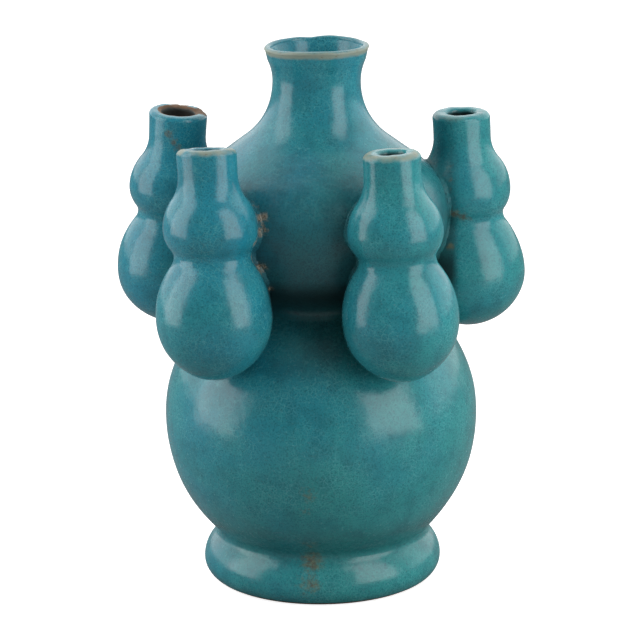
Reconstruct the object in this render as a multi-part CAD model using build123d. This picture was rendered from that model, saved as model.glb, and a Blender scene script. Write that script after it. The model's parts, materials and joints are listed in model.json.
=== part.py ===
from build123d import *
from math import atan2, cos, radians, sin, sqrt, tan
import os

# A double gourd vase with five small gourd vases luted round its waist.
# Millimetres and degrees. The origin is the centre of the resting foot, +Z is up and
# -Y is the front. Radii are outer radii, and a height is the rise from the level before it.

# Main body, outside
foot_radius = 46.0
foot_rest_radius = 41.2
foot_widest_height = 7.0
groove_height = 18.6
groove_radius = 41.0
lower_bulb_radius = 60.2
lower_bulb_low = 45.9
lower_bulb_high = 48.5
waist_radius = 34.0
upper_bulb_radius = 49.8
upper_bulb_low = 32.6
upper_bulb_high = 50.9
throat_radius = 16.8
neck_height = 13.5
lip_height = 5.4
lip_root_radius = 18.7
mouth_radius = 20.0

# Main body, inside
wall = 4.0
lip_thickness = 2.5
floor_thickness = 5.0
floor_radius = 33.0
foot_inner_radius = 34.0
neck_bore_radius = 13.4
neck_bore_drop = 13.0

# Every stretch between a wide and a narrow place is two arcs. The first share says how
# much of it they take, with a straight stretch left between them where it is under 1.
# The second is the wide place's arc, as a share of the two radii together.
foot_shares = (1.0, 0.8)
lower_bulb_base_shares = (1.0, 0.95)
lower_bulb_shoulder_shares = (1.0, 0.95)
upper_bulb_base_shares = (1.0, 0.88)
upper_bulb_shoulder_shares = (0.6, 0.45)
neck_seam_share = 0.7
lip_round_share = 0.45

# Slip, the liquid clay that lutes the pieces together
slip_joint = 0.4
seam_roll_radius = 1.6
gourd_slip = 1.6

# Small gourds, all thrown alike
gourd_bulb_radius = 22.0
gourd_bulb_drop = 23.8
gourd_bulb_rise = 23.2
gourd_waist_radius = 14.5
gourd_lobe_radius = 18.0
gourd_lobe_low = 10.4
gourd_lobe_high = 20.0
gourd_neck_radius = 11.1
gourd_spout_height = 10.2
gourd_rim_radius = 11.4
gourd_wall = 3.5
gourd_bore_radius = 5.6
gourd_bore_length = 14.0
gourd_bulb_shares = (1.0, 0.85)
gourd_lobe_base_shares = (1.0, 0.75)
gourd_lobe_shoulder_shares = (1.0, 0.55)
gourd_rim_outer_share = 0.42
gourd_rim_inner_share = 0.28

# How deep the small gourds are pressed into the upper bulb and the lower bulb's shoulder
lobe_seat = 9.2
bulb_seat = 1.2

# How the small gourds differ: turn from the front towards +X, lean of the spout inwards
# and sideways, and shares of the common ring radius and of the common bore
gourd_lean = 3.2
gourd_turns = {
    "front_left": -37.4,
    "front_right": 34.4,
    "back_right": 109.2,
    "back": 180.0,
    "back_left": 252.9,
}
gourd_inward_leans = {
    "front_left": 3.6,
    "front_right": 3.3,
    "back_right": 2.6,
    "back": 3.2,
    "back_left": 3.4,
}
gourd_sideways_leans = {
    "front_left": -3.9,
    "front_right": -1.4,
    "back_right": -0.4,
    "back": 0.8,
    "back_left": 1.8,
}
gourd_ring_shares = {
    "front_left": 1.01,
    "front_right": 0.99,
    "back_right": 0.985,
    "back": 1.0,
    "back_left": 1.015,
}
gourd_bore_shares = {
    "front_left": 1.03,
    "front_right": 0.9,
    "back_right": 0.95,
    "back": 1.0,
    "back_left": 1.2,
}

# Levels and radii that follow
belly_level = groove_height + lower_bulb_low
waist_level = belly_level + lower_bulb_high
upper_belly_level = waist_level + upper_bulb_low
throat_level = upper_belly_level + upper_bulb_high
mouth_level = throat_level + neck_height
floor_level = groove_height + floor_thickness
neck_seam_level = upper_belly_level + neck_seam_share * upper_bulb_high
gourd_lobe_level = gourd_bulb_rise + gourd_lobe_low
gourd_neck_level = gourd_lobe_level + gourd_lobe_high
gourd_rim_level = gourd_neck_level + gourd_spout_height
gourd_ring_radius = upper_bulb_radius + gourd_lobe_radius - lobe_seat
half_joint = slip_joint / 2


def arcs_between(wide, narrow, shares):
    # The angle that both arcs turn through, and their radii at the wide and narrow place.
    reach = wide[0] - narrow[0]
    rise = abs(narrow[1] - wide[1])
    angle = (1 + shares[0]) * atan2(reach, rise)
    radii = (rise * tan(angle) - reach) / (1 / cos(angle) - 1)
    return angle, shares[1] * radii, (1 - shares[1]) * radii


def flank(wide, narrow, shares):
    # The outline from a wide place, where it is upright, to a narrow one above or below.
    angle, wide_arc, narrow_arc = arcs_between(wide, narrow, shares)
    way = 1 if narrow[1] > wide[1] else -1
    leaves = (wide[0] - wide_arc * (1 - cos(angle)), wide[1] + way * wide_arc * sin(angle))
    meets = (narrow[0] + narrow_arc * (1 - cos(angle)), narrow[1] - way * narrow_arc * sin(angle))
    edges = [TangentArc(wide, leaves, tangent=(0, way))]
    if shares[0] < 1:
        edges.append(Line(leaves, meets))
        leaves = meets
    edges.append(TangentArc(narrow, leaves, tangent=(0, -way)))
    return edges


def round_bottom(radius, drop):
    # A round arc under one that is upright at the widest place, level 0. As on an
    # ellipse, the deeper the drop is beside the radius, the tighter the arc under it.
    under = radius * (radius / drop) ** 2
    spare = radius - under
    centre_drop = drop - under
    beyond = (centre_drop**2 - spare**2) / (2 * spare)
    lift = under / (beyond + spare)
    meets = (lift * beyond, -centre_drop - lift * centre_drop)
    return [
        TangentArc((0, -drop), meets, tangent=(1, 0)),
        TangentArc((radius, 0), meets, tangent=(0, -1)),
    ]


def spun(outline):
    # A half section, drawn as radius and height, turned round the upright axis.
    return revolve(Plane.XZ * outline, Axis.Z)


def band(low, high):
    # A strip that holds every radius between two levels.
    reach = 2 * (lower_bulb_radius + foot_radius)
    return Pos(0, (low + high) / 2) * Rectangle(reach, high - low)


def body_outline(grow=0.0):
    # The whole outside of the main body, with every radius larger by grow.
    foot = (foot_radius + grow, foot_widest_height)
    rest = (foot_rest_radius + grow, 0)
    groove = (groove_radius + grow, groove_height)
    belly = (lower_bulb_radius + grow, belly_level)
    waist = (waist_radius + grow, waist_level)
    upper_belly = (upper_bulb_radius + grow, upper_belly_level)
    throat = (throat_radius + grow, throat_level)
    lip_root = (lip_root_radius + grow, mouth_level - lip_height)
    lip = (mouth_radius + grow, mouth_level)
    return make_face(
        [
            Line((0, 0), rest),
            TangentArc(foot, rest, tangent=(0, -1)),
            *flank(foot, groove, foot_shares),
            *flank(belly, groove, lower_bulb_base_shares),
            *flank(belly, waist, lower_bulb_shoulder_shares),
            *flank(upper_belly, waist, upper_bulb_base_shares),
            *flank(upper_belly, throat, upper_bulb_shoulder_shares),
            TangentArc(throat, lip_root, tangent=(0, 1)),
            Line(lip_root, lip),
            Line(lip, (0, mouth_level)),
            Line((0, mouth_level), (0, 0)),
        ]
    )


def body_hollow():
    # The inside, from the floor up through the straight bore of the neck to the mouth.
    belly = (lower_bulb_radius - wall, belly_level)
    waist = (waist_radius - wall, waist_level)
    upper_belly = (upper_bulb_radius - wall, upper_belly_level)
    bore_foot = (neck_bore_radius, throat_level - neck_bore_drop)
    bore_top = (neck_bore_radius, throat_level)
    mouth = (mouth_radius - lip_thickness, mouth_level)
    return make_face(
        [
            Line((0, floor_level), (floor_radius, floor_level)),
            TangentArc(belly, (floor_radius, floor_level), tangent=(0, -1)),
            *flank(belly, waist, lower_bulb_shoulder_shares),
            *flank(upper_belly, waist, upper_bulb_base_shares),
            *flank(upper_belly, bore_foot, upper_bulb_shoulder_shares),
            Line(bore_foot, bore_top),
            TangentArc(bore_top, mouth, tangent=(0, 1)),
            Line(mouth, (0, mouth_level)),
            Line((0, mouth_level), (0, floor_level)),
        ]
    )


def rounded_rim(section, radius, level, size):
    corner = section.vertices().sort_by_distance((radius, level))[0]
    return fillet(corner, size)


def body_section():
    # The cut wall of the thrown body, from its floor to the rounded lip.
    section = (body_outline() & band(groove_height, mouth_level)) - body_hollow()
    size = lip_round_share * lip_thickness
    section = rounded_rim(section, mouth_radius, mouth_level, size)
    return rounded_rim(section, mouth_radius - lip_thickness, mouth_level, size)


def seam_slip(section, hollow, level):
    # A thin layer through the wall, with the roll that was squeezed out inside.
    joint = band(level - half_joint, level + half_joint)
    inside = (hollow & joint).bounding_box().max.X
    roll = Pos(inside, level) * Circle(seam_roll_radius) & hollow
    return spun((section & joint) + roll)


def foot_pieces():
    # The ring is luted under the lower bulb, in the groove.
    hole = body_outline() & Rectangle(2 * foot_inner_radius, 2 * groove_height)
    ring = (body_outline() & band(0, groove_height - slip_joint)) - hole
    layer = (body_outline() & band(groove_height - slip_joint, groove_height)) - hole
    roll = Pos(foot_inner_radius, groove_height) * Circle(seam_roll_radius) & hole
    return {"foot_ring": spun(ring), "foot_seam_slip": spun(layer + roll)}


def body_pieces():
    section = body_section()
    hollow = body_hollow()
    base = section & band(groove_height, belly_level - half_joint)
    shoulder = section & band(belly_level + half_joint, waist_level - half_joint)
    upper = section & band(waist_level + half_joint, neck_seam_level - half_joint)
    neck = section & band(neck_seam_level + half_joint, mouth_level)
    return {
        "lower_bulb_base": spun(base),
        "belly_seam_slip": seam_slip(section, hollow, belly_level),
        "lower_bulb_shoulder": spun(shoulder),
        "waist_seam_slip": seam_slip(section, hollow, waist_level),
        "upper_bulb": spun(upper),
        "neck_seam_slip": seam_slip(section, hollow, neck_seam_level),
        "neck_and_mouth": spun(neck),
    }


def gourd_outline(grow=0.0):
    # Outside of a small gourd, with level 0 where its bulb is widest.
    bulb = (gourd_bulb_radius + grow, 0)
    bottom = gourd_bulb_drop + grow
    waist = (gourd_waist_radius + grow, gourd_bulb_rise)
    lobe = (gourd_lobe_radius + grow, gourd_lobe_level)
    neck = (gourd_neck_radius + grow, gourd_neck_level)
    rim = (gourd_rim_radius + grow, gourd_rim_level)
    return make_face(
        [
            *round_bottom(bulb[0], bottom),
            *flank(bulb, waist, gourd_bulb_shares),
            *flank(lobe, waist, gourd_lobe_base_shares),
            *flank(lobe, neck, gourd_lobe_shoulder_shares),
            Line(neck, rim),
            Line(rim, (0, gourd_rim_level)),
            Line((0, gourd_rim_level), (0, -bottom)),
        ]
    )


def gourd_hollow(bore):
    # Inside of a small gourd, with the straight bore of its spout.
    bulb = (gourd_bulb_radius - gourd_wall, 0)
    bottom = gourd_bulb_drop - gourd_wall
    waist = (gourd_waist_radius - gourd_wall, gourd_bulb_rise)
    lobe = (gourd_lobe_radius - gourd_wall, gourd_lobe_level)
    bore_foot = (bore, gourd_rim_level - gourd_bore_length)
    return make_face(
        [
            *round_bottom(bulb[0], bottom),
            *flank(bulb, waist, gourd_bulb_shares),
            *flank(lobe, waist, gourd_lobe_base_shares),
            *flank(lobe, bore_foot, gourd_lobe_shoulder_shares),
            Line(bore_foot, (bore, gourd_rim_level)),
            Line((bore, gourd_rim_level), (0, gourd_rim_level)),
            Line((0, gourd_rim_level), (0, -bottom)),
        ]
    )


def gourd_section(bore):
    section = gourd_outline() - gourd_hollow(bore)
    lip = gourd_rim_radius - bore
    outer_round = gourd_rim_outer_share * lip
    inner_round = gourd_rim_inner_share * lip
    section = rounded_rim(section, gourd_rim_radius, gourd_rim_level, outer_round)
    return rounded_rim(section, bore, gourd_rim_level, inner_round)


def gourd_level():
    # Where the small bulbs are widest, when they rest on the lower bulb's shoulder.
    belly = (lower_bulb_radius, belly_level)
    waist = (waist_radius, waist_level)
    _, shoulder_arc, _ = arcs_between(belly, waist, lower_bulb_shoulder_shares)
    apart = shoulder_arc + gourd_bulb_radius - bulb_seat
    ring = gourd_ring_radius + gourd_lobe_level * tan(radians(gourd_lean))
    across = ring + shoulder_arc - lower_bulb_radius
    return belly_level + sqrt(apart**2 - across**2)


def gourd_seat(name):
    # A small gourd before its turn round the body, leaning about the middle of its lobe,
    # with the plane that it is drawn in facing away from the body.
    ring = gourd_ring_radius * gourd_ring_shares[name]
    lobe = Pos(0, -ring, gourd_level() + gourd_lobe_level)
    lean = Rot(-gourd_inward_leans[name], 0, 0) * Rot(0, gourd_sideways_leans[name], 0)
    return lobe * lean * Pos(0, 0, -gourd_lobe_level) * Rot(0, 0, -90)


def gourd_pieces(name, body_in_slip, low_slip, high_slip):
    # Each small gourd is cut to sit on the body, with slip between and along the joint.
    seat = gourd_seat(name)
    turn = Rot(0, 0, gourd_turns[name])
    section = gourd_section(gourd_bore_radius * gourd_bore_shares[name])
    below = band(-2 * gourd_bulb_drop, gourd_bulb_rise - half_joint)
    joint = band(gourd_bulb_rise - half_joint, gourd_bulb_rise + half_joint)
    above = band(gourd_bulb_rise + half_joint, 2 * gourd_rim_level)
    seated = seat * spun(gourd_outline()) - body_in_slip
    slip_reach = seat * spun(gourd_outline(gourd_slip))
    return {
        f"{name}_gourd_bulb": turn * (seat * spun(section & below) - body_in_slip),
        f"{name}_gourd_waist_slip": turn * (seat * spun(section & joint) - body_in_slip),
        f"{name}_gourd_spout": turn * (seat * spun(section & above) - body_in_slip),
        f"{name}_gourd_lower_slip": turn * ((low_slip & slip_reach) - seated),
        f"{name}_gourd_upper_slip": turn * ((high_slip & slip_reach) - seated),
    }


def main():
    pieces = foot_pieces() | body_pieces()
    body_in_slip = spun(body_outline(slip_joint))
    slip_layer = body_outline(gourd_slip) - body_outline()
    low_slip = spun(slip_layer & band(groove_height, waist_level))
    high_slip = spun(slip_layer & band(waist_level, throat_level))
    for name in gourd_turns:
        pieces |= gourd_pieces(name, body_in_slip, low_slip, high_slip)
    os.makedirs("parts", exist_ok=True)
    for name, piece in pieces.items():
        export_step(piece, f"parts/{name}.step")
    return pieces


if __name__ == "__main__":
    main()
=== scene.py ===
import bisect
import json
import math
import bmesh
import bpy
from mathutils import Matrix, Vector, noise

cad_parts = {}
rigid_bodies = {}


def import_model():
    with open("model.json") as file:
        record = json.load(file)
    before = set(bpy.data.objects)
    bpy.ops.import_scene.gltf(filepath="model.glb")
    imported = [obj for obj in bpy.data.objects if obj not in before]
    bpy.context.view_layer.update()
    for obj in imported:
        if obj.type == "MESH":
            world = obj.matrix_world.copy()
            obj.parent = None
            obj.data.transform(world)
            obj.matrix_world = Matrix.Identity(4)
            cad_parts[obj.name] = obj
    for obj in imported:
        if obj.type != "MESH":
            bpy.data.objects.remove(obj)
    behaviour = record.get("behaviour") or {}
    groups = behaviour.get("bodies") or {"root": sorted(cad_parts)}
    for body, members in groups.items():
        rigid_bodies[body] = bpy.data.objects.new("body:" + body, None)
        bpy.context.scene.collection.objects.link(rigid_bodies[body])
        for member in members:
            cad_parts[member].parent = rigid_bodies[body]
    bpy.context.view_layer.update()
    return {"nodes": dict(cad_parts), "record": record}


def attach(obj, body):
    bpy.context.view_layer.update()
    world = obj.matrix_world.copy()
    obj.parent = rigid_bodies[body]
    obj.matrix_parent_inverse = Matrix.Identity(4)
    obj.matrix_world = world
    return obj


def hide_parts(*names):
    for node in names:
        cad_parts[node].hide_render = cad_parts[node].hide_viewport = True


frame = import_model()
record = frame["record"]
mounts = {mount["name"]: mount for mount in record["mounts"]}

# A crackle glazed double gourd vase. Metres, +Z up, -Y the front.
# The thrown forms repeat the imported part's radii and rises, and small wobbles make them handmade.

mm = 0.001
upright = Vector((0, 0, 1))
arcSteps = 8  # segments in a small round
samePlace = 1e-7  # points closer than this are one
onAxis = 1e-6  # a smaller radius is on the axis
creaseAngle = math.radians(38)
fadedOut = 3  # widths past which a soft edge has faded to nothing


# Outlines, as radius and height

def arcFromUpright(start, end, step):
    # an arc that is upright at its start
    side = 1 if end[0] > start[0] else -1
    way = 1 if end[1] > start[1] else -1
    across, rise = abs(end[0] - start[0]), abs(end[1] - start[1])
    radius = (across**2 + rise**2) / (2 * across)
    turn = math.atan2(rise, radius - across)
    count = max(3, round(radius * turn / step))
    return [(start[0] + side * radius * (1 - math.cos(turn * i / count)),
             start[1] + way * radius * math.sin(turn * i / count)) for i in range(count + 1)]


def flank(wide, narrow, shares, step):
    # from a wide place to a narrow one, upright at both
    reach, rise = wide[0] - narrow[0], abs(narrow[1] - wide[1])
    way = 1 if narrow[1] > wide[1] else -1
    turn = (1 + shares[0]) * math.atan2(reach, rise)
    both = (rise * math.tan(turn) - reach) / (1 / math.cos(turn) - 1)
    outer, inner = shares[1] * both, (1 - shares[1]) * both
    outerCount = max(3, round(outer * turn / step))
    innerCount = max(3, round(inner * turn / step))
    points = []
    for i in range(outerCount + 1):
        a = turn * i / outerCount
        points.append((wide[0] - outer * (1 - math.cos(a)), wide[1] + way * outer * math.sin(a)))
    for i in range(innerCount + 1):
        a = turn * (1 - i / innerCount)
        points.append((narrow[0] + inner * (1 - math.cos(a)), narrow[1] - way * inner * math.sin(a)))
    return points


def chained(*runs):
    # runs joined from low to high, without doubled points
    points = []
    for run in runs:
        for point in sorted(run, key=lambda p: p[1]):
            if not points or point[1] - points[-1][1] > samePlace:
                points.append(point)
    return points


def radiusAt(outline, height):
    if height <= outline[0][1]:
        return outline[0][0]
    if height >= outline[-1][1]:
        return outline[-1][0]
    after = bisect.bisect_left(outline, height, key=lambda point: point[1])
    low, high = outline[after - 1], outline[after]
    share = (height - low[1]) / (high[1] - low[1])
    return low[0] + share * (high[0] - low[0])


def gapTo(outline, radius, height, swell):
    # how far a point lies outside an outline that has swollen a little
    reach = 0.4 * mm
    slope = (radiusAt(outline, height + reach) - radiusAt(outline, height - reach)) / (2 * reach)
    return (radius - radiusAt(outline, height) - swell) / math.sqrt(1 + slope**2)


def levels(low, high, step, edge):
    # even levels, with one more close to each end to steady the shading at a joint
    count = max(2, math.ceil((high - low) / step))
    return [low, low + edge] + [low + (high - low) * i / count for i in range(1, count)] + [high - edge, high]


# Main body

body = {
    "foot": (0.0460, 0.0070), "footRest": (0.0412, 0.0),
    "groove": (0.0410, 0.0186),
    "belly": (0.0602, 0.0645), "waist": (0.0340, 0.1130),
    "upperBelly": (0.0498, 0.1456), "throat": (0.0168, 0.1965),
    "lipRoot": (0.0187, 0.2046), "mouth": (0.0200, 0.2100),
    "footShares": (1.0, 0.8), "baseShares": (1.0, 0.95), "shoulderShares": (1.0, 0.95),
    "upperBaseShares": (1.0, 0.88), "upperShoulderShares": (0.6, 0.45),
    "wall": 0.004, "lip": 0.0025, "lipRound": 0.00112,
    "floor": (0.0330, 0.0236), "footInside": 0.0340,
    "boreRadius": 0.0134, "boreFoot": 0.1835,
    "neckSeam": 0.18123, "slip": 0.0004, "roll": 0.0016, "rollReach": 1.1,
    "floorShares": (1.0, 0.8, 0.5, 0.2, 0.0),
    "turns": 288, "step": 0.0012, "fineStep": 0.0007, "edge": 0.00008, "outlineStep": 0.0004,
}


def bodyOutside():
    b, step = body, body["outlineStep"]
    return chained(
        arcFromUpright(b["foot"], b["footRest"], step),
        flank(b["foot"], b["groove"], b["footShares"], step),
        flank(b["belly"], b["groove"], b["baseShares"], step),
        flank(b["belly"], b["waist"], b["shoulderShares"], step),
        flank(b["upperBelly"], b["waist"], b["upperBaseShares"], step),
        flank(b["upperBelly"], b["throat"], b["upperShoulderShares"], step),
        arcFromUpright(b["throat"], b["lipRoot"], step),
        [b["mouth"]])


def bodyInside():
    b, step = body, body["outlineStep"]
    belly = (b["belly"][0] - b["wall"], b["belly"][1])
    waist = (b["waist"][0] - b["wall"], b["waist"][1])
    upperBelly = (b["upperBelly"][0] - b["wall"], b["upperBelly"][1])
    boreFoot = (b["boreRadius"], b["boreFoot"])
    boreTop = (b["boreRadius"], b["throat"][1])
    return chained(
        arcFromUpright(belly, b["floor"], step),
        flank(belly, waist, b["shoulderShares"], step),
        flank(upperBelly, waist, b["upperBaseShares"], step),
        flank(upperBelly, boreFoot, b["upperShoulderShares"], step),
        arcFromUpright(boreTop, (b["mouth"][0] - b["lip"], b["mouth"][1]), step))


outsideLine = bodyOutside()
insideLine = bodyInside()

wobble = {
    "lean": (-0.0007, 0.0002), "leanAt": 0.172, "leanOver": 0.024,
    "mouthTilt": (0.00045, -0.0006), "mouthFrom": 0.199, "mouthTo": 0.210,
    "dips": [(1.80, 0.16, -0.00045), (1.35, 0.20, 0.00025), (2.60, 0.30, 0.00020), (0.55, 0.22, -0.00025),
             (-1.57, 1.00, 0.00090)],
    "lump": 0.00032, "lumpScale": 52.0, "lumpStart": (11, 5, 2),
    "swell": 0.0005, "swellScale": 23.4, "swellAround": 1.3, "swellStart": (3, 7, 1), "steadyFoot": 0.012,
}


def smoothStep(low, high, value):
    share = min(1.0, max(0.0, (value - low) / (high - low)))
    return share * share * (3 - 2 * share)


def fall(distance, width):
    return math.exp(-(distance / width)**2)


def angleGap(a, b):
    return abs((a - b + math.pi) % (2 * math.pi) - math.pi)


def bodySwell(place, outward):
    w = wobble
    around = Vector((w["swellAround"] * outward.x, w["swellAround"] * outward.y, w["swellScale"] * place.z))
    slow = noise.noise(around + Vector(w["swellStart"]))
    lump = noise.noise(place * w["lumpScale"] + Vector(w["lumpStart"]))
    return (w["swell"] * slow + w["lump"] * lump) * smoothStep(0.0, w["steadyFoot"], place.z)


def bodyLean(height):
    # how far the upper bulb leans at a height
    w = wobble
    return Vector((*w["lean"], 0)) * fall(height - w["leanAt"], w["leanOver"])


def bodyByHand(place):
    # the wobble of the thrown body, the same for every piece of it
    w = wobble
    radius = math.hypot(place.x, place.y)
    if radius < onAxis:
        return place.copy()
    outward = Vector((place.x / radius, place.y / radius, 0))
    angle = math.atan2(place.y, place.x)
    moved = place + outward * bodySwell(place, outward) + bodyLean(place.z)
    lip = smoothStep(w["mouthFrom"], w["mouthTo"], place.z)
    reach = radius / body["mouth"][0]
    moved.z += lip * reach * (w["mouthTilt"][0] * math.cos(angle) + w["mouthTilt"][1] * math.sin(angle))
    for at, width, height in w["dips"]:
        moved.z += lip * height * fall(angleGap(angle, at), width)
    return moved


def spunMesh(section, turns, cup=False):
    # a section turned full circle: a closed ring, or a cup whose ends lie on the axis
    mesh = bmesh.new()
    verts = [mesh.verts.new((radius, 0, height)) for radius, height in section]
    after = verts[1:] if cup else verts[1:] + verts[:1]
    edges = [mesh.edges.new(pair) for pair in zip(verts, after)]
    bmesh.ops.spin(mesh, geom=verts + edges, cent=(0, 0, 0), axis=upright, dvec=(0, 0, 0),
                   angle=2 * math.pi, steps=turns, use_merge=True, use_duplicate=False)
    bmesh.ops.remove_doubles(mesh, verts=mesh.verts[:], dist=samePlace)
    bmesh.ops.recalc_face_normals(mesh, faces=mesh.faces[:])
    for face in mesh.faces:
        face.smooth = True
    for edge in mesh.edges:
        if edge.is_manifold and edge.calc_face_angle() > creaseAngle:
            edge.smooth = False
    return mesh


def lipArc(corner, size, outer):
    # rounds the lip's corner at the mouth, from the outside up or over and down the inside
    points = []
    for i in range(arcSteps + 1):
        a = math.pi / 2 * i / arcSteps
        if outer:
            points.append((corner[0] - size * (1 - math.cos(a)), corner[1] - size * (1 - math.sin(a))))
        else:
            points.append((corner[0] + size * (1 - math.sin(a)), corner[1] - size * (1 - math.cos(a))))
    return points


def wallSection(low, high):
    # the body's cut wall between two levels, outside up and inside down
    heights = levels(low, high, body["step"], body["edge"])
    return ([(radiusAt(outsideLine, h), h) for h in heights]
            + [(radiusAt(insideLine, h), h) for h in reversed(heights)])


def inScene(name, data):
    thing = bpy.data.objects.new(name, data)
    bpy.context.scene.collection.objects.link(thing)
    return thing


def meshObject(name, mesh):
    data = bpy.data.meshes.new(name)
    mesh.to_mesh(data)
    mesh.free()
    return inScene(name, data)


def settle(piece):
    # what its modifiers make becomes its own mesh
    old = piece.data
    settled = bpy.data.meshes.new_from_object(piece.evaluated_get(bpy.context.evaluated_depsgraph_get()))
    piece.modifiers.clear()
    piece.data = settled
    bpy.data.meshes.remove(old)


def finished(mesh, name, nodes):
    piece = meshObject(name, mesh)
    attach(piece, "root")
    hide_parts(*nodes)
    return piece


def keepMask(mesh, name, measure):
    # a number at every point, for the glaze to read
    layer = mesh.verts.layers.float.new(name)
    for vert in mesh.verts:
        vert[layer] = measure(vert.co)


# Where the glaze is stained or crusted, and where painted shade darkens it as pooled glaze: place or height,
# reach and strength

marks = {
    "stain": [((0.0521, 0.0027, 0.1437), 0.0030, 1.0), ((0.0550, 0.0032, 0.1426), 0.0028, 1.0),
              ((0.0575, 0.0042, 0.1416), 0.0022, 0.7), ((0.0496, 0.0057, 0.1611), 0.0028, 0.6),
              ((0.0502, 0.0030, 0.1568), 0.0026, 0.7), ((0.0498, 0.0021, 0.1539), 0.0024, 0.6),
              ((0.0502, 0.0018, 0.1312), 0.0022, 1.0), ((-0.0582, 0.0054, 0.1733), 0.0026, 0.9),
              ((-0.0559, 0.0054, 0.1702), 0.0024, 0.9), ((-0.0544, 0.0056, 0.1678), 0.0022, 0.8),
              ((-0.0001, -0.0584, 0.0498), 0.0058, 0.62), ((-0.0016, -0.0560, 0.0420), 0.0050, 0.54),
              ((-0.0006, -0.0464, 0.0258), 0.0052, 0.62), ((-0.0003, -0.0420, 0.0175), 0.0062, 0.90),
              ((-0.0010, -0.0457, 0.0095), 0.0068, 0.78)],
    "crust": [((-0.0201, -0.0431, 0.1584), 0.0026, 0.60), ((-0.0172, -0.0461, 0.1542), 0.0030, 0.95),
              ((-0.0172, -0.0483, 0.1494), 0.0030, 0.95), ((-0.0191, -0.0508, 0.1458), 0.0024, 0.85),
              ((-0.0208, -0.0480, 0.1391), 0.0024, 0.75), ((-0.0180, -0.0465, 0.1346), 0.0030, 1.00),
              ((-0.0155, -0.0424, 0.1249), 0.0028, 0.75)],
    # painted shade with pooled glaze, by height: the waist, under the upper bulb, and the foot groove
    "poolAndShade": [(0.1220, 0.0115, 0.92), (0.1340, 0.0300, 0.60), (0.0235, 0.0075, 0.32)],
    "poolAndShadeReach": 0.0545, "poolAndShadeEdge": 0.004,
}


def nearest(place, spots):
    return max((strength * fall((place - Vector(at)).length, reach) for at, reach, strength in spots
                if abs(place.z - at[2]) < fadedOut * reach), default=0.0)


def darkPoolAndShade(place):
    # thick dark glaze run into the waist and the foot groove, with painted shade where the small gourds shade
    # the waist and the upper bulb; kept off the small gourds
    thick = max(strength * fall(place.z - level, over) for level, over, strength in marks["poolAndShade"])
    reach = marks["poolAndShadeReach"]
    return thick * smoothStep(reach, reach - marks["poolAndShadeEdge"], math.hypot(place.x, place.y))


def keepMarks(mesh):
    keepMask(mesh, "stain", lambda co: nearest(co, marks["stain"]))
    keepMask(mesh, "crust", lambda co: nearest(co, marks["crust"]))
    keepMask(mesh, "poolAndShade", darkPoolAndShade)


def deepenPoolAndShade(mesh, least):
    # painted shade, drawn as dark pooled glaze, raised to at least the given levels
    poolAndShade = mesh.verts.layers.float["poolAndShade"]
    for vert, shadeAndPool in zip(mesh.verts, least):
        vert[poolAndShade] = max(vert[poolAndShade], shadeAndPool)


def bodyPiece(name, section):
    mesh = spunMesh(section, body["turns"])
    keepMask(mesh, "wear", bodyWear)
    keepMask(mesh, "bare", bodyBare)
    for vert in mesh.verts:
        vert.co = bodyByHand(vert.co)
    keepMarks(mesh)
    return finished(mesh, name, [name.replace("shown_", "")])


bodyUse = {
    "lipDepth": 0.0013, "lipReach": 0.0014, "lipEdge": 0.0016, "lipWear": 1.15,
    "lipUneven": 0.60, "lipUnevenScale": 110.0, "topWear": 0.34, "topDepth": 0.003,
    "wiped": (0.0016, 0.0006), "footUnder": (0.0402, 0.0372), "footTop": (0.0200, 0.0185),
}


def bodyWear(place):
    # glaze worn thin on the lip's outer edge, less on its top
    u = bodyUse
    depth = body["mouth"][1] - place.z
    if math.hypot(place.x, place.y) > body["mouth"][0] - u["lipEdge"]:
        uneven = u["lipWear"] + u["lipUneven"] * noise.noise(place * u["lipUnevenScale"])
        return fall(depth - u["lipDepth"], u["lipReach"]) * uneven
    return u["topWear"] * smoothStep(u["topDepth"], 0.0, depth)


def bodyBare(place):
    # bare clay where the foot was wiped
    u = bodyUse
    under = smoothStep(*u["footUnder"], math.hypot(place.x, place.y)) * smoothStep(*u["footTop"], place.z)
    return max(smoothStep(*u["wiped"], place.z), under)


def footPieces():
    b = body
    top = b["groove"][1] - b["slip"]
    heights = levels(0.0, top, b["fineStep"], b["edge"])
    section = ([(radiusAt(outsideLine, h), h) for h in heights]
               + [(b["footInside"], h) for h in reversed(levels(0.0, top, b["step"] * 2, b["edge"]))])
    bodyPiece("shown_foot_ring", section)
    roll = rollInside((b["footInside"], b["groove"][1]), b["roll"], math.pi, 1.5 * math.pi)
    outer = [(radiusAt(outsideLine, top), top), (b["groove"][0], b["groove"][1])]
    bodyPiece("shown_foot_seam_slip", outer + roll + [(b["footInside"], top)])


def rollInside(centre, radius, start, end):
    # the slip's roll, squeezed out inside, as points from one end to the other
    turns = [start + (end - start) * i / arcSteps for i in range(arcSteps + 1)]
    return [(centre[0] + radius * math.cos(a), centre[1] + radius * math.sin(a)) for a in turns]


def seamPiece(name, level):
    half, reach = body["slip"] / 2, body["rollReach"]
    outer = [(radiusAt(outsideLine, level - half), level - half), (radiusAt(outsideLine, level), level),
             (radiusAt(outsideLine, level + half), level + half)]
    inside = radiusAt(insideLine, level)
    rise = math.asin(half / body["roll"])
    roll = rollInside((inside, level), body["roll"], math.pi - rise - reach, math.pi + rise + reach)
    bodyPiece(name, outer + [(inside, level + half)] + roll + [(inside, level - half)])


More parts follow.
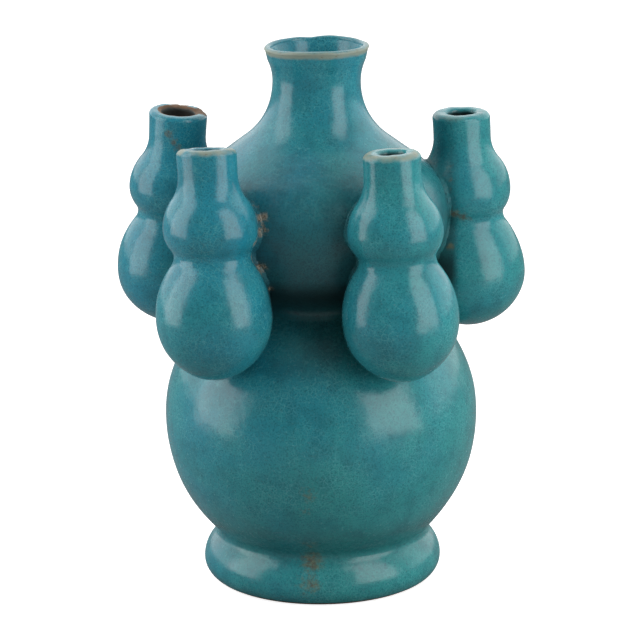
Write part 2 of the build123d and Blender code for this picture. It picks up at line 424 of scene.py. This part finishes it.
def bodyPieces():
    b = body
    half = b["slip"] / 2
    base = levels(b["groove"][1], b["belly"][1] - half, b["step"], b["edge"])
    above = [h for h in reversed(base) if h > b["floor"][1] + b["edge"]]
    bowl = [(radiusAt(outsideLine, h), h) for h in base] + [(radiusAt(insideLine, h), h) for h in above]
    bowl += [(b["floor"][0] * share, b["floor"][1]) for share in b["floorShares"]]
    bowl += [(b["groove"][0] * share, b["groove"][1]) for share in reversed(b["floorShares"][1:])]
    bodyPiece("shown_lower_bulb_base", bowl)
    seamPiece("shown_belly_seam_slip", b["belly"][1])
    bodyPiece("shown_lower_bulb_shoulder", wallSection(b["belly"][1] + half, b["waist"][1] - half))
    seamPiece("shown_waist_seam_slip", b["waist"][1])
    bodyPiece("shown_upper_bulb", wallSection(b["waist"][1] + half, b["neckSeam"] - half))
    seamPiece("shown_neck_seam_slip", b["neckSeam"])
    size, top = b["lipRound"], b["mouth"][1]
    heights = levels(b["neckSeam"] + half, top - size, b["fineStep"], b["edge"])
    neck = [(radiusAt(outsideLine, h), h) for h in heights]
    neck += lipArc((b["mouth"][0], top), size, True)
    neck += lipArc((b["mouth"][0] - b["lip"], top), size, False)
    neck += [(radiusAt(insideLine, h), h) for h in reversed(heights)]
    bodyPiece("shown_neck_and_mouth", neck)


# Small gourds

gourd = {
    "bulb": 0.0220, "drop": 0.0238, "rise": 0.0232, "waist": 0.0145,
    "lobe": 0.0180, "lobeLow": 0.0104, "lobeHigh": 0.0200, "neck": 0.0111,
    "spout": 0.0102, "rim": 0.0114, "wall": 0.0035, "boreLength": 0.0140,
    "bulbShares": (1.0, 0.85), "lobeBaseShares": (1.0, 0.75),
    "lobeShoulderShares": (1.0, 0.55), "rimOuterShare": 0.42, "rimInnerShare": 0.28,
    "roundBelow": -0.020, "slip": 0.0004, "turns": 112, "step": 0.0009, "edge": 0.00006,
    "outlineStep": 0.0003,
    "lump": 0.00028, "lumpScale": 75.0, "swell": 0.00045, "swellScale": 22.0, "swellAround": 0.9,
    "seedSkew": 0.7, "slimFrom": 0.042, "rimOver": 0.008, "rimUneven": 0.00022, "rimUnevenScale": 2.2,
    "chipDepth": 0.0025, "chipRough": 0.5, "chipScale": 900.0,
}
neckLevel = gourd["rise"] + gourd["lobeLow"] + gourd["lobeHigh"]
rimLevel = neckLevel + gourd["spout"]
gourdLooks = {
    "front_left": {"seed": 3.1, "short": 1.0, "tilt": (-0.0006, -0.0007), "bend": (-0.0011, 0.0012),
                   "slim": 0.0, "wear": 0.86, "bare": 0.45, "chips": []},
    "front_right": {"seed": 8.6, "short": 1.0, "tilt": (-0.0002, 0.0001), "bend": (0.0, 0.0), "slim": 0.04,
                    "wear": 0.88, "bare": 0.3, "chips": []},
    "back_right": {"seed": 14.2, "short": 0.88, "tilt": (0.0003, 0.0002), "bend": (0.0, 0.0), "slim": 0.04,
                   "wear": 0.40, "bare": 0.12, "chips": []},
    "back": {"seed": 21.5, "short": 0.9, "tilt": (0.0, 0.0003), "bend": (0.0, 0.0), "slim": 0.0,
             "wear": 0.40, "bare": 0.6, "chips": []},
    "back_left": {"seed": 27.9, "short": 0.88, "tilt": (-0.0003, 0.0), "bend": (0.0, 0.0), "slim": 0.0,
                  "wear": 0.15, "bare": 1.0, "chips": [(0.6, 0.5, 0.0011), (1.9, 0.45, 0.0009)]},
}


def gourdOutline(grow, drop, bore=None):
    g, step = gourd, gourd["outlineStep"]
    bulb = (g["bulb"] + grow, 0.0)
    under = bulb[0] * (bulb[0] / drop)**2
    spare = bulb[0] - under
    centre = drop - under
    beyond = (centre**2 - spare**2) / (2 * spare)
    lift = under / (beyond + spare)
    meets = (lift * beyond, -centre - lift * centre)
    sweep = math.asin(meets[0] / under)
    count = max(6, round(under * sweep / step))
    bottom = [(under * math.sin(sweep * i / count), -centre - under * math.cos(sweep * i / count))
              for i in range(count + 1)]
    waist = (g["waist"] + grow, g["rise"])
    lobe = (g["lobe"] + grow, g["rise"] + g["lobeLow"])
    if bore is None:
        end, tail = (g["neck"] + grow, neckLevel), [(g["rim"] + grow, rimLevel)]
    else:
        end, tail = (bore, rimLevel - g["boreLength"]), [(bore, rimLevel)]
    return chained(bottom, arcFromUpright(bulb, meets, step), flank(bulb, waist, g["bulbShares"], step),
                   flank(lobe, waist, g["lobeBaseShares"], step),
                   flank(lobe, end, g["lobeShoulderShares"], step), tail)


def gourdPlace(name):
    # from the spout's bore in the record, the gourd's own upright axis
    mount = mounts[f"{name}_spout_bore"]
    axis = Vector(mount["axis"]).normalized()
    middle = rimLevel - gourd["boreLength"] + mount["dims"]["length_mm"] * mm / 2
    origin = Vector(mount["pos_m"]) - axis * middle
    inward = Vector((-origin.x, -origin.y, 0)).normalized()
    side = axis.cross(inward).normalized()
    inward = side.cross(axis).normalized()
    turn = Matrix((inward, side, axis)).transposed()
    return Matrix.Translation(origin) @ turn.to_4x4()


def gourdStart(looks):
    # where its noise begins, so that no two small gourds are alike
    return Vector((looks["seed"], looks["seed"] * gourd["seedSkew"], 0))


def gourdSwell(place, outward, looks):
    g, start = gourd, gourdStart(looks)
    slow = noise.noise(outward * g["swellAround"] + Vector((0, 0, place.z * g["swellScale"])) + start)
    return g["swell"] * slow + g["lump"] * noise.noise(place * g["lumpScale"] + start)


def gourdBend(height, looks):
    # how far a bent spout has moved over at a height
    return Vector((*looks["bend"], 0)) * max(0.0, (height - gourd["rise"]) / (rimLevel - gourd["rise"]))


def gourdByHand(place, looks):
    # wobble of one small gourd in its own frame, where +X faces the body
    g = gourd
    radius = math.hypot(place.x, place.y)
    if radius < onAxis:
        return Vector((place.x, place.y, place.z * (looks["short"] if place.z < 0 else 1)))
    outward = Vector((place.x / radius, place.y / radius, 0))
    angle = math.atan2(place.y, place.x)
    moved = place + outward * gourdSwell(place, outward, looks)
    if place.z < 0:
        moved.z *= looks["short"]
    moved -= outward * radius * looks["slim"] * smoothStep(g["slimFrom"], rimLevel, place.z)
    moved += gourdBend(place.z, looks)
    top = smoothStep(rimLevel - g["rimOver"], rimLevel, place.z)
    reach = radius / g["rim"]
    moved.z += top * reach * (looks["tilt"][0] * math.cos(angle) + looks["tilt"][1] * math.sin(angle))
    moved.z += top * g["rimUneven"] * noise.noise(outward * g["rimUnevenScale"] + gourdStart(looks))
    for at, width, depth in looks["chips"]:
        rough = 1 + g["chipRough"] * noise.noise(place * g["chipScale"])
        near = smoothStep(rimLevel - g["chipDepth"], rimLevel, place.z)
        moved.z -= near * depth * fall(angleGap(angle, at), width) * rough * min(1.0, reach)
    return moved


# Depths are below the rim, edges are outside the bore
gourdUse = {
    "wearRadius": (0.0064, 0.0088), "wearDepth": (0.0034, 0.0004), "wearLevel": 0.80,
    "wearUneven": 0.7, "wearScale": 230.0,
    "bareEdge": (0.0022, 0.0004), "bareDepth": (0.030, 0.020), "chipDepth": (0.0016, 0.0004),
    # dark: the painted shade down the bore, drawn as thick dark glaze
    "boreShadeEdge": (0.0012, 0.0002), "boreShadeDepth": (0.0002, 0.0020), "boreShadeFoot": (0.034, 0.026),
}


def gourdWear(place, looks):
    # glaze worn thin on the rim
    u = gourdUse
    outer = smoothStep(*u["wearRadius"], math.hypot(place.x, place.y))
    patches = noise.noise(place * u["wearScale"] + Vector((looks["seed"], 0, 0)))
    uneven = u["wearLevel"] + u["wearUneven"] * patches
    return looks["wear"] * uneven * outer * smoothStep(*u["wearDepth"], rimLevel - place.z)


def gourdBare(place, looks, bore):
    # the mouth of the bore, where the glaze didn't run down, and the chips
    u, depth = gourdUse, rimLevel - place.z
    inside = smoothStep(*u["bareEdge"], math.hypot(place.x, place.y) - bore)
    inside *= looks["bare"] * smoothStep(*u["bareDepth"], depth)
    angle = math.atan2(place.y, place.x)
    chipped = [fall(angleGap(angle, at), width) for at, width, cut in looks["chips"]]
    return max(inside, smoothStep(*u["chipDepth"], depth) * max(chipped, default=0.0))


def gourdBoreShadeAndPool(place, bore):
    # painted shade down the bore, drawn as thick dark glaze
    u, depth = gourdUse, rimLevel - place.z
    inside = smoothStep(*u["boreShadeEdge"], math.hypot(place.x, place.y) - bore)
    return inside * smoothStep(*u["boreShadeDepth"], depth) * smoothStep(*u["boreShadeFoot"], depth)


def gourdPiece(name, part, section, place, looks, bore, knife, cup):
    mesh = spunMesh(section, gourd["turns"], cup)
    # painted shade down the bore
    shadeAndPool = [gourdBoreShadeAndPool(vert.co, bore) for vert in mesh.verts]
    keepMask(mesh, "wear", lambda co: gourdWear(co, looks))
    keepMask(mesh, "bare", lambda co: gourdBare(co, looks, bore))
    for vert in mesh.verts:
        vert.co = place @ gourdByHand(vert.co, looks)
    keepMarks(mesh)
    deepenPoolAndShade(mesh, shadeAndPool)
    node = f"{name}_gourd_{part}"
    piece = finished(mesh, "shown_" + node, [node])
    cut = piece.modifiers.new("seated", "BOOLEAN")
    cut.operation, cut.solver, cut.object = "DIFFERENCE", "EXACT", knife
    settle(piece)


knifeShape = {"low": 0.03, "step": 0.0025, "count": 66, "clear": 0.0002, "turns": 144}


def bodyKnife():
    # the body's outside as one solid, to seat the small gourds on
    k = knifeShape
    heights = [k["low"] + k["step"] * i for i in range(k["count"])]
    flanks = [(radiusAt(outsideLine, h) + k["clear"], h) for h in heights]
    mesh = spunMesh([(0.0, heights[0])] + flanks + [(0.0, heights[-1])], k["turns"], cup=True)
    for vert in mesh.verts:
        vert.co = bodyByHand(vert.co)
    return meshObject("knife", mesh)


def gourdPieces(name, knife):
    g, looks, place = gourd, gourdLooks[name], gourdPlace(name)
    bore = mounts[f"{name}_spout_bore"]["dims"]["r_mm"] * mm
    outside = gourdOutline(0.0, g["drop"])
    inside = gourdOutline(-g["wall"], g["drop"] - g["wall"], bore)
    half = g["slip"] / 2
    rise = g["rise"]
    below = levels(g["roundBelow"], rise - half, g["step"], g["edge"])
    roundInside = g["roundBelow"] + g["wall"] - g["step"] / 2
    outerLow = [p for p in outside if p[1] < below[0] - g["edge"]][::2]
    innerLow = [p for p in inside if p[1] < roundInside - g["edge"]][::2]
    bulb = outerLow + [(radiusAt(outside, h), h) for h in below]
    bulb += [(radiusAt(inside, h), h) for h in reversed(below) if h > roundInside] + innerLow[::-1]
    gourdPiece(name, "bulb", bulb, place, looks, bore, knife, True)
    ring = [(radiusAt(outside, h), h) for h in (rise - half, rise, rise + half)]
    ring += [(radiusAt(inside, h), h) for h in (rise + half, rise, rise - half)]
    gourdPiece(name, "waist_slip", ring, place, looks, bore, knife, False)
    lip = g["rim"] - bore
    outerRound, innerRound = g["rimOuterShare"] * lip, g["rimInnerShare"] * lip
    heights = levels(rise + half, rimLevel - outerRound, g["step"], g["edge"])
    spout = [(radiusAt(outside, h), h) for h in heights]
    spout += lipArc((radiusAt(outside, rimLevel), rimLevel), outerRound, True)[1:]
    spout += lipArc((bore, rimLevel), innerRound, False)
    inner = levels(rise + half, rimLevel - innerRound, g["step"], g["edge"])
    spout += [(radiusAt(inside, h), h) for h in reversed(inner)][1:]
    gourdPiece(name, "spout", spout, place, looks, bore, knife, False)


# Slip pressed along the joints of the small gourds

collar = {
    "weld": 1e-6, "voxel": 0.0007, "spread": 0.0006, "soften": 4, "softenBy": 0.5,
    "blend": 0.0020, "uneven": 0.50, "unevenScale": 190.0,
    "sink": 0.00016, "inner": 0.0010, "rough": 0.00016, "roughScale": 700.0,
    # dark: painted shade laid over the slip collars, drawn as dark glaze in the crease
    "steps": 3, "probe": 0.0002, "flattest": 0.2, "shadeAndPool": 0.50,
}


def clayShape(node):
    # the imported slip, a little wider and softened
    c = collar
    mesh = bmesh.new()
    mesh.from_mesh(frame["nodes"][node].data)
    bmesh.ops.remove_doubles(mesh, verts=mesh.verts[:], dist=c["weld"])
    bmesh.ops.recalc_face_normals(mesh, faces=mesh.faces[:])
    piece = finished(mesh, "shown_" + node, [node])
    for turn in (1, 2):
        remesh = piece.modifiers.new(f"clay_{turn}", "REMESH")
        remesh.mode, remesh.voxel_size, remesh.use_smooth_shade = "VOXEL", c["voxel"], True
        if turn == 1:
            swell = piece.modifiers.new("wider", "DISPLACE")
            swell.strength, swell.mid_level = c["spread"], 0.0
    soften = piece.modifiers.new("wiped", "SMOOTH")
    soften.factor, soften.iterations = c["softenBy"], c["soften"]
    settle(piece)
    return piece


def slipCollar(node, name, outline):
    # the slip's face is drawn onto a soft blend between the body and the small gourd
    c, looks = collar, gourdLooks[name]
    piece = clayShape(node)
    home = gourdPlace(name).inverted()
    mesh = bmesh.new()
    mesh.from_mesh(piece.data)
    mesh.normal_update()
    for vert in mesh.verts:
        outer = Vector((vert.co.x, vert.co.y, 0)).normalized()
        bodySwollen, lean = bodySwell(vert.co, outer), bodyLean(vert.co.z)
        own = home @ vert.co
        gourdSwollen = gourdSwell(own, Vector((own.x, own.y, 0)).normalized(), looks)
        bent = gourdBend(own.z, looks)
        blend = c["blend"] * (1 + c["uneven"] * noise.noise(vert.co * c["unevenScale"]))

        def depth(at):
            near = home @ at - bent
            level = near.z / looks["short"] if near.z < 0 else near.z
            toBody = gapTo(outsideLine, math.hypot(at.x - lean.x, at.y - lean.y), at.z, bodySwollen)
            toGourd = gapTo(outline, math.hypot(near.x, near.y), level, gourdSwollen)
            joined = max(blend - abs(toBody - toGourd), 0.0) / blend
            return min(toBody, toGourd) - joined**2 * blend / 4, joined

        at = vert.co.copy()
        for step in range(c["steps"]):
            here, joined = depth(at)
            rises = [depth(at + axis * c["probe"])[0] - here for axis in Matrix.Identity(3)]
            slope = Vector(rises) / c["probe"]
            shown = vert.normal.dot(slope) > 0
            target = -c["sink"] * (1 - joined) if shown else -c["inner"]
            at -= slope * (here - target) / max(slope.length_squared, c["flattest"])
        if shown:
            at += slope.normalized() * c["rough"] * noise.noise(at * c["roughScale"]) * joined
        vert.co = at
    keepMask(mesh, "wear", lambda co: 0.0)
    keepMask(mesh, "bare", lambda co: 0.0)
    keepMarks(mesh)
    # painted shade over the whole slip collar, drawn as dark glaze in the crease
    deepenPoolAndShade(mesh, [c["shadeAndPool"]] * len(mesh.verts))
    for face in mesh.faces:
        face.smooth = True
    mesh.to_mesh(piece.data)
    mesh.free()


footPieces()
bodyPieces()
print("body thrown")
knife = bodyKnife()
for name in gourdLooks:
    gourdPieces(name, knife)
bpy.data.objects.remove(knife)
print("small gourds seated")
gourdLine = gourdOutline(0.0, gourd["drop"])
for name in gourdLooks:
    slipCollar(f"{name}_gourd_lower_slip", name, gourdLine)
    slipCollar(f"{name}_gourd_upper_slip", name, gourdLine)
print("slip laid")


# Glaze

class Sheet:
    # the nodes of one material or world
    def __init__(self, owner):
        owner.use_nodes = True
        self.tree = owner.node_tree
        self.tree.nodes.clear()

    def add(self, kind, settings=None, sockets=None, output=0):
        node = self.tree.nodes.new(kind)
        for key, value in (settings or {}).items():
            setattr(node, key, value)
        for key, value in (sockets or {}).items():
            socket = node.inputs[key]
            if isinstance(value, Wire):
                self.tree.links.new(value.socket, socket)
            else:
                socket.default_value = value
        return Wire(self, node.outputs[output]) if len(node.outputs) else node

    def mixed(self, share, first, second):
        # the colour sockets of a Mix node, which share their names with others
        return self.add("ShaderNodeMix", {"data_type": "RGBA"}, {0: share, 6: first, 7: second}, 2)

    def noise(self, place, scale, detail, roughness=0.5, output="Fac"):
        return self.add("ShaderNodeTexNoise", {}, {"Vector": place, "Scale": scale, "Detail": detail,
                                                   "Roughness": roughness}, output)

    def moved(self, place, offset):
        return self.add("ShaderNodeVectorMath", {"operation": "ADD"}, {0: place, 1: offset})

    def along(self, place, way):
        return self.add("ShaderNodeVectorMath", {"operation": "DOT_PRODUCT"}, {0: place, 1: way}, "Value")

    def edges(self, place, scale):
        sockets = {"Vector": place, "Scale": scale}
        return self.add("ShaderNodeTexVoronoi", {"feature": "DISTANCE_TO_EDGE"}, sockets)


class Wire:
    # a socket's output, which adds Math nodes when it is reckoned with
    def __init__(self, sheet, socket):
        self.sheet, self.socket = sheet, socket

    def maths(self, kind, first, second):
        return self.sheet.add("ShaderNodeMath", {"operation": kind}, {0: first, 1: second})

    def __add__(self, other):
        return self.maths("ADD", self, other)

    def __radd__(self, other):
        return self.maths("ADD", other, self)

    def __sub__(self, other):
        return self.maths("SUBTRACT", self, other)

    def __rsub__(self, other):
        return self.maths("SUBTRACT", other, self)

    def __mul__(self, other):
        return self.maths("MULTIPLY", self, other)

    def __rmul__(self, other):
        return self.maths("MULTIPLY", other, self)

    def between(self, low, high):
        # 0 below low, 1 above high, smooth between
        return self.sheet.add("ShaderNodeMapRange", {"interpolation_type": "SMOOTHSTEP"},
                              {"Value": self, "From Min": low, "From Max": high})

    def shown(self, low, high, most):
        return self.between(low, high) * most


glaze = {
    "deep": (0.008, 0.110, 0.150, 1), "blue": (0.015, 0.240, 0.336, 1), "green": (0.032, 0.294, 0.296, 1),
    # pooled: the near-black painted shade, drawn as thick glaze, in the waist, the joints and the bores
    "pale": (0.080, 0.400, 0.430, 1), "line": (0.110, 0.450, 0.470, 1), "darkPoolAndShade": (0.009, 0.012, 0.012, 1),
    "worn": (0.335, 0.350, 0.262, 1), "crust": (0.400, 0.345, 0.260, 1), "rust": (0.140, 0.078, 0.034, 1),
    "ochre": (0.190, 0.185, 0.105, 1), "clay": (0.200, 0.095, 0.045, 1),
    "roughness": 0.205, "ior": 1.5, "slipRough": 0.10, "slipIor": 1.28,
    "drift": (4.5, -2.6, 0.31), "cloudShift": 1.4, "warp": 0.0016,
    "crackle": 430.0, "crackleWidth": 0.075, "crackleShown": (0.03, 0.30),
    "hair": 980.0, "hairWidth": 0.10, "hairShown": (0.12, 0.22),
    # noises: scale, detail and roughness
    "swirl": (220.0, 2.0), "cloud": (30.0, 3.0, 0.55), "mottle": (120.0, 3.0, 0.6), "patches": (75.0, 2.0),
    "grain": (1500.0, 2.0, 0.7), "fleck": (640.0, 2.0, 0.6), "broken": (300.0, 3.0, 0.6),
    "spots": (560.0, 3.0, 0.7), "bulges": (100.0, 2.0), "ripples": (400.0, 2.0),
    "mottleStart": (3.1, 1.7, 0.4), "spotsStart": (0.4, 2.2, 5.0),
    # where a noise starts to show and where it is full, and how strong it is then
    "mottleShown": (0.42, 0.72, 0.42), "fleckShown": (0.50, 0.72, 0.16), "grainShown": (0.48, 0.64, 0.62),
    "patchesFull": (0.35, 0.65), "wornFull": (0.16, 1.0), "brownFull": (0.42, 0.58),
    "crumbsFull": (0.44, 0.60), "rustFull": (0.60, 0.72), "clayFull": (0.35, 0.6), "dullFull": (0.4, 0.8),
    # how far a mark and a noise add up, where the sum shows, and how strong it is then
    "stainSpots": (0.75, 0.9, 0.28, 0.80), "stained": 0.8,
    "crustSpots": (0.8, 1.1, 0.30, 0.70), "crusted": 0.85, "markFull": (0.03, 0.25),
    "wornBreak": (0.45, 1.1), "wornShown": 0.8, "rustShown": (0.10, 0.9),
    "clayBreak": 0.35, "clayUnderPoolAndShade": 0.85, "poolAndShadeShown": 0.95,
    "dull": {"fleck": 0.08, "poolAndShade": 0.18, "worn": 0.22, "crust": 0.35, "clay": 0.45},
    "relief": {"bulges": 0.55, "ripples": 0.07, "grain": 0.02, "cracks": 0.02, "crust": 0.30},
    "bump": 0.45, "bumpDepth": 0.0010,
}


def blotches(mark, spots, use):
    # a mark broken up by noise
    markShare, spotShare, low, high = use
    broken = (mark * markShare + spotShare * (spots - 0.5)).between(low, high)
    return broken * mark.between(*glaze["markFull"])


def glazeMaterial(name, rough, ior):
    g, dull, relief = glaze, glaze["dull"], glaze["relief"]
    material = bpy.data.materials.new(name)
    sheet = Sheet(material)
    place = sheet.add("ShaderNodeTexCoord", output="Object")
    drift = sheet.along(place, (g["drift"][0], 0, g["drift"][1])) + g["drift"][2]
    wear, bare, stain, crust, poolAndShade = [sheet.add("ShaderNodeAttribute", {"attribute_name": kind}, output="Fac")
                                      for kind in ("wear", "bare", "stain", "crust", "poolAndShade")]
    swirl = sheet.noise(place, *g["swirl"], output="Color")
    warped = sheet.add("ShaderNodeVectorMath", {"operation": "MULTIPLY_ADD"},
                       {0: swirl, 1: (g["warp"],) * 3, 2: place})

    # the glaze's own colour
    cloud = sheet.noise(place, *g["cloud"])
    mottle = sheet.noise(sheet.moved(place, g["mottleStart"]), *g["mottle"])
    grain = sheet.noise(place, *g["grain"])
    fleck = sheet.noise(place, *g["fleck"])
    blueToGreen = (0.5 + drift + g["cloudShift"] * (cloud - 0.5)).between(0.0, 1.0)
    colour = sheet.mixed(blueToGreen, g["blue"], g["green"])
    colour = sheet.mixed(mottle.shown(*g["mottleShown"]), colour, g["deep"])
    colour = sheet.mixed(fleck.shown(*g["fleckShown"]), colour, g["pale"])
    colour = sheet.mixed(grain.shown(*g["grainShown"]), colour, g["deep"])

    # its crackle, and where it ran thick, which also carries the painted shade of the waist, the joints and
    # the bores
    patchy = sheet.noise(place, *g["patches"]).between(*g["patchesFull"])
    cracks = 1 - sheet.edges(warped, g["crackle"]).between(0.0, g["crackleWidth"])
    hair = 1 - sheet.edges(warped, g["hair"]).between(0.0, g["hairWidth"])
    crackleLeast, crackleMore = g["crackleShown"]
    hairLeast, hairMore = g["hairShown"]
    network = cracks * (crackleLeast + crackleMore * patchy) + hair * (hairLeast + hairMore * patchy)
    colour = sheet.mixed(network, colour, g["line"])
    colour = sheet.mixed(poolAndShade * g["poolAndShadeShown"], colour, g["darkPoolAndShade"])

    # wear, stains, crumbs of slip and bare clay
    broken = sheet.noise(place, *g["broken"])
    wornLeast, wornMore = g["wornBreak"]
    worn = (wear * (wornLeast + wornMore * broken)).between(*g["wornFull"])
    colour = sheet.mixed(worn * g["wornShown"], colour, g["worn"])
    spots = sheet.noise(sheet.moved(place, g["spotsStart"]), *g["spots"])
    stained = blotches(stain, spots, g["stainSpots"])
    brown = sheet.mixed(fleck.between(*g["brownFull"]), g["rust"], g["ochre"])
    colour = sheet.mixed(stained * g["stained"], colour, brown)
    crusted = blotches(crust, spots, g["crustSpots"])
    crumbs = sheet.mixed(grain.between(*g["crumbsFull"]), g["crust"], g["rust"])
    colour = sheet.mixed(crusted * g["crusted"], colour, crumbs)
    rustLeast, rustMore = g["rustShown"]
    rust = spots.between(*g["rustFull"]) * (rustLeast + rustMore * worn)
    colour = sheet.mixed(rust, colour, g["rust"])
    # no bare clay shows where the painted shade is
    clay = (bare + g["clayBreak"] * (broken - 0.5)).between(*g["clayFull"])
    brownClay = sheet.mixed(fleck, g["clay"], g["rust"])
    colour = sheet.mixed(clay * (1 - g["clayUnderPoolAndShade"] * poolAndShade), colour, brownClay)

    gloss = g["roughness"] + rough + dull["fleck"] * fleck.between(*g["dullFull"]) + dull["poolAndShade"] * poolAndShade
    gloss = gloss + dull["worn"] * worn + dull["crust"] * crusted + dull["clay"] * clay
    height = relief["bulges"] * sheet.noise(place, *g["bulges"])
    height = height + relief["ripples"] * sheet.noise(place, *g["ripples"])
    height = height + relief["grain"] * grain - relief["cracks"] * network + relief["crust"] * crusted * grain
    bump = sheet.add("ShaderNodeBump", {}, {"Strength": g["bump"], "Distance": g["bumpDepth"],
                                            "Height": height})
    shader = sheet.add("ShaderNodeBsdfPrincipled", {},
                       {"Base Color": colour, "Roughness": gloss, "IOR": ior, "Normal": bump})
    sheet.add("ShaderNodeOutputMaterial", {}, {"Surface": shader})
    return material


glazed = glazeMaterial("crackle_glaze", 0.0, glaze["ior"])
slipped = glazeMaterial("glazed_slip", glaze["slipRough"], glaze["slipIor"])
for piece in [o for o in bpy.data.objects if o.name.startswith("shown_")]:
    piece.data.materials.clear()
    piece.data.materials.append(slipped if piece.name.endswith(("upper_slip", "lower_slip")) else glazed)
print("glaze fired")


# Stage, camera and lights

camera = {
    "away": 1.680, "height": 0.5873, "azimuth": 5.0, "lookAt": 0.1015,
    "focal": 4536.0, "frame": 640.0, "sensor": 36.0, "roll": -0.60,
}
lamps = {
    "left": {"azimuth": -82.0, "away": 0.64, "low": -0.02, "high": 1.05, "width": 0.50, "power": 4.5},
    "right": {"azimuth": 53.0, "away": 0.66, "low": -0.02, "high": 1.05, "width": 0.50, "power": 4.9},
}
stage = {"reach": 6.0, "front": 0.14, "back": 1.35, "turnsAt": (-0.10, 0.35),
         "floor": 0.28, "seenFloor": 0.80, "paper": 0.80}


def makeCamera():
    c = camera
    data = bpy.data.cameras.new("camera")
    data.sensor_width = c["sensor"]
    data.lens = c["focal"] / c["frame"] * c["sensor"]
    eye = inScene("camera", data)
    turn = math.radians(c["azimuth"])
    place = Vector((c["away"] * math.sin(turn), -c["away"] * math.cos(turn), c["height"]))
    aim = (Vector((0, 0, c["lookAt"])) - place).to_track_quat("-Z", "Y").to_matrix().to_4x4()
    eye.matrix_world = Matrix.Translation(place) @ aim @ Matrix.Rotation(math.radians(c["roll"]), 4, "Z")
    bpy.context.scene.camera = eye


def makeLamps():
    base = math.radians(camera["azimuth"])
    for name, l in lamps.items():
        data = bpy.data.lights.new(name, "AREA")
        data.shape, data.size, data.size_y = "RECTANGLE", l["width"], l["high"] - l["low"]
        data.energy = l["power"]
        lamp = inScene(name, data)
        turn = base + math.radians(l["azimuth"])
        middle = (l["high"] + l["low"]) / 2
        place = Vector((l["away"] * math.sin(turn), -l["away"] * math.cos(turn), middle))
        aim = Vector((-place.x, -place.y, 0)).to_track_quat("-Z", "Y").to_matrix().to_4x4()
        lamp.matrix_world = Matrix.Translation(place) @ aim


def grey(level):
    return (level, level, level, 1)


def makeWorld():
    # dim in front, bright behind, and white to the camera
    world = bpy.data.worlds.new("studio")
    bpy.context.scene.world = world
    sheet = Sheet(world)
    seen = sheet.add("ShaderNodeLightPath", output="Is Camera Ray")
    way = sheet.add("ShaderNodeTexCoord", output="Generated")
    behind = sheet.along(way, (0, 1, 0)).between(*stage["turnsAt"])
    room = sheet.mixed(behind, grey(stage["front"]), grey(stage["back"]))
    light = sheet.add("ShaderNodeBackground", {}, {"Color": sheet.mixed(seen, room, grey(1.0))})
    sheet.add("ShaderNodeOutputWorld", {}, {"Surface": light})


def makeFloor():
    mesh = bmesh.new()
    bmesh.ops.create_grid(mesh, x_segments=1, y_segments=1, size=stage["reach"])
    floor = meshObject("floor", mesh)
    material = bpy.data.materials.new("floor_paper")
    sheet = Sheet(material)
    seen = sheet.add("ShaderNodeLightPath", output="Is Camera Ray")
    shade = sheet.mixed(seen, grey(stage["floor"]), grey(stage["seenFloor"]))
    paper = sheet.add("ShaderNodeBsdfDiffuse", {}, {"Color": shade})
    glow = sheet.add("ShaderNodeEmission", {}, {"Color": grey(1.0), "Strength": seen * stage["paper"]})
    both = sheet.add("ShaderNodeAddShader", {}, {0: paper, 1: glow})
    sheet.add("ShaderNodeOutputMaterial", {}, {"Surface": both})
    floor.data.materials.append(material)


makeCamera()
makeLamps()
makeWorld()
makeFloor()
bpy.context.scene.view_settings.view_transform = "Standard"
print("stage set")
